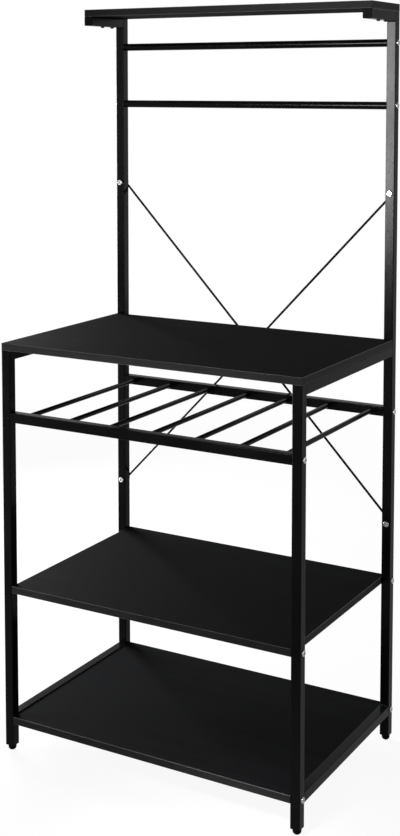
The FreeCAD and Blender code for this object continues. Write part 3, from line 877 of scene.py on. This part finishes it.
dull_zinc = skin_finish("dull_zinc", DULL_DARK, DULL_LIGHT, rough=(0.42, 0.60),
                        bumps=1800.0, drift=80.0, height=0.012 * MM, Metallic=1.0)
for node in ("bar_inserts", "rack_rail_inserts", "shelf_inserts"):
    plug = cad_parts[node]
    plug.data.materials.clear()
    plug.data.materials.append(dull_zinc)


# Plugs and feet. Moulded black plastic. A plug closes the front of each arm, a bored plug closes
# the foot of each post, and a levelling foot with a threaded stem screws up into it.
PLUG_FLANGE = 1 * MM
PLUG_DEPTH = 14 * MM
FOOT_PLUG_DEPTH = 20 * MM
PLUG_SIDE = tube - 2 * TUBE_WALL - 0.1 * MM
PLUG_BARB = 4 * MM
BARB_TAPER = 0.94
FLANGE_ROUND = 0.4 * MM
FOOT_RADIUS = 8.5 * MM
FOOT_DOME = 7 * MM
FOOT_SIDES = 64
RIM_ROUND = 0.5 * MM
STEM_LENGTH = 21 * MM
PLASTIC_DARK = (0.0030, 0.0030, 0.0033, 1)
PLASTIC_LIGHT = (0.0050, 0.0050, 0.0054, 1)

moulded_plastic = skin_finish("moulded_plastic", PLASTIC_DARK, PLASTIC_LIGHT, rough=(0.50, 0.62),
                              bumps=1500.0, drift=35.0, height=0.03 * MM, Specular_IOR_Level=0.05)


def tube_plug(depth):
    """A plug along +Z from its flange's outer face, with barbs that grip the tube."""
    half = tube / 2
    plug = block("plug", (-half, -half, 0), (half, half, PLUG_FLANGE))
    bevel(plug, TUBE_CORNER, CORNER_STEPS, lambda edge: runs_along(edge, 2))
    bevel(plug, FLANGE_ROUND, 3, lambda edge: middle_of(edge).z < NEAR)
    pick(plug, "FACE", lambda face: face.normal.z > 0.9)
    bpy.ops.mesh.inset(thickness=(tube - PLUG_SIDE) / 2)
    at = PLUG_FLANGE
    plug_end = PLUG_FLANGE + depth
    while at < plug_end - NEAR:
        step = min(PLUG_BARB, plug_end - at)
        bpy.ops.mesh.extrude_region_move(TRANSFORM_OT_translate={"value": (0, 0, step)})
        bpy.ops.transform.resize(value=(BARB_TAPER, BARB_TAPER, 1), center_override=(0, 0, at + step))
        at += step
        if at < plug_end - NEAR:
            bpy.ops.mesh.extrude_region_move(TRANSFORM_OT_translate={"value": (0, 0, 0)})
            bpy.ops.transform.resize(value=(1 / BARB_TAPER, 1 / BARB_TAPER, 1),
                                     center_override=(0, 0, at))
    put_down()
    return plug


arm_plug_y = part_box("arm_plugs")[0].y
arm_z = level_of("right_shelf_arm")
dress(copies("arm_end_plugs", tube_plug(PLUG_DEPTH),
             [facing((side * post_x, arm_plug_y, arm_z), (0, 1, 0)) for side in (-1, 1)]),
      moulded_plastic, ["arm_plugs"])

foot_plug = tube_plug(FOOT_PLUG_DEPTH)
drill(foot_plug, [((0, 0, -tube), (0, 0, 2 * tube), THREAD_HOLE)])
foot_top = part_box("foot_inserts")[0].z
dress(copies("foot_plugs", foot_plug,
             [Matrix.Translation((way * post_x, end * post_y, foot_top))
              for way in (-1, 1) for end in (-1, 1)]),
      moulded_plastic, ["foot_inserts"])


def levelling_foot(name, x, y):
    """A foot: a domed pad, and the threaded stem above."""
    pad = round_bar("pad", (x, y, 0), (x, y, foot_top), FOOT_RADIUS, FOOT_SIDES)
    bevel(pad, FOOT_DOME, 12, lambda edge: middle_of(edge).z < NEAR and runs_across(edge, 2))
    bevel(pad, RIM_ROUND, 3, lambda edge: middle_of(edge).z > foot_top - NEAR and runs_across(edge, 2))
    stem = ribbed_bar("stem", (x, y, foot_top - MM), (x, y, foot_top + STEM_LENGTH), THREAD_CORE,
                      THREAD_SIDES, THREAD_PITCH, THREAD_RISE)
    return join(name, [pad, stem])


for side, way in (("left", -1), ("right", 1)):
    for end, depth in (("front", -1), ("back", 1)):
        node = f"{side}_{end}_foot"
        foot = levelling_foot(f"{node}_glide", way * post_x, depth * post_y)
        dress(foot, moulded_plastic, [node], f"{side}_{end}_leveller")
